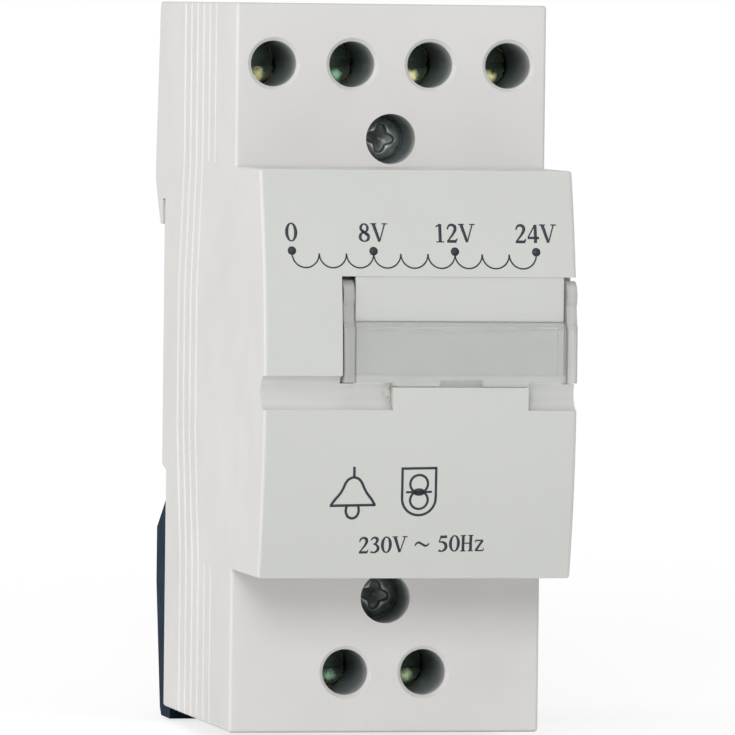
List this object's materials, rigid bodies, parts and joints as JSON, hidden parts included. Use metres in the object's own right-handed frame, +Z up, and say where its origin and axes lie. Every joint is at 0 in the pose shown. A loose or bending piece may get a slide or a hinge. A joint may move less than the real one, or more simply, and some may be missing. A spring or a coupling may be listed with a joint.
{
  "type": "doorbell transformer",
  "caption": "Rail-mounted bell transformer: ridged grey housing with a bulged nose, screw terminals at both ends, a hinged clear label flap and a sprung rail clip.",
  "frame": {"origin": "middle of the flat rail seat, level with the middle of the 35 mm rail", "axes": "+X to the viewer's right along the rail, +Y to the back into the rail, +Z up"},
  "size_m": [0.036, 0.0705, 0.0841],
  "materials": {
    "housing": "fine matt mould texture, light grey",
    "clip": "matt blue-black nylon",
    "spring_steel": "bright spring wire",
    "flap": "clear, slightly grey, glossy",
    "core": "varnished laminations",
    "bobbin": "natural nylon",
    "winding": "enamelled copper wire",
    "tape": "glossy polyester tape",
    "link": "white ceramic-filled case",
    "terminal": "drawn brass",
    "screw": "zinc plated",
    "lead_black": "cable insulation",
    "lead_yellow": "cable insulation",
    "lead_orange": "cable insulation",
    "lead_red": "cable insulation",
    "lead_brown": "cable insulation",
    "lead_blue": "cable insulation"
  },
  "bodies": {
    "housing": {"front_cover": "housing", "rear_base": "housing", "clip_spring": "spring_steel", "upper_terminal_tray": "bobbin", "lower_terminal_tray": "bobbin", "core_e": "core", "core_i": "core", "bobbin": "bobbin", "primary_winding": "winding", "secondary_winding": "winding", "primary_tape": "tape", "secondary_tape": "tape", "thermal_link": "link", "terminal_0v": "terminal", "terminal_8v": "terminal", "terminal_12v": "terminal", "terminal_24v": "terminal", "terminal_live": "terminal", "terminal_neutral": "terminal", "terminal_screws": "screw", "cover_screws": "screw", "lead_0v": "lead_black", "lead_8v": "lead_yellow", "lead_12v": "lead_orange", "lead_24v": "lead_red", "lead_live": "lead_brown", "lead_neutral": "lead_blue"},
    "flap": {"label_flap": "flap"},
    "clip": {"rail_clip": "clip"}
  },
  "joints": [
    {"name": "flap_hinge", "type": "hinge", "parent": "housing", "child": "flap", "pos_m": [0, -0.0603, 0.0088], "axis": [-1, 0, 0], "range_deg": [0, 105]},
    {"name": "clip_slide", "type": "slide", "parent": "housing", "child": "clip", "axis": [0, 0, -1], "range_m": [0, 0.005], "stiffness_N_per_m": 1000, "springref_m": -0.004, "deforming": ["clip_spring"]}
  ]
}
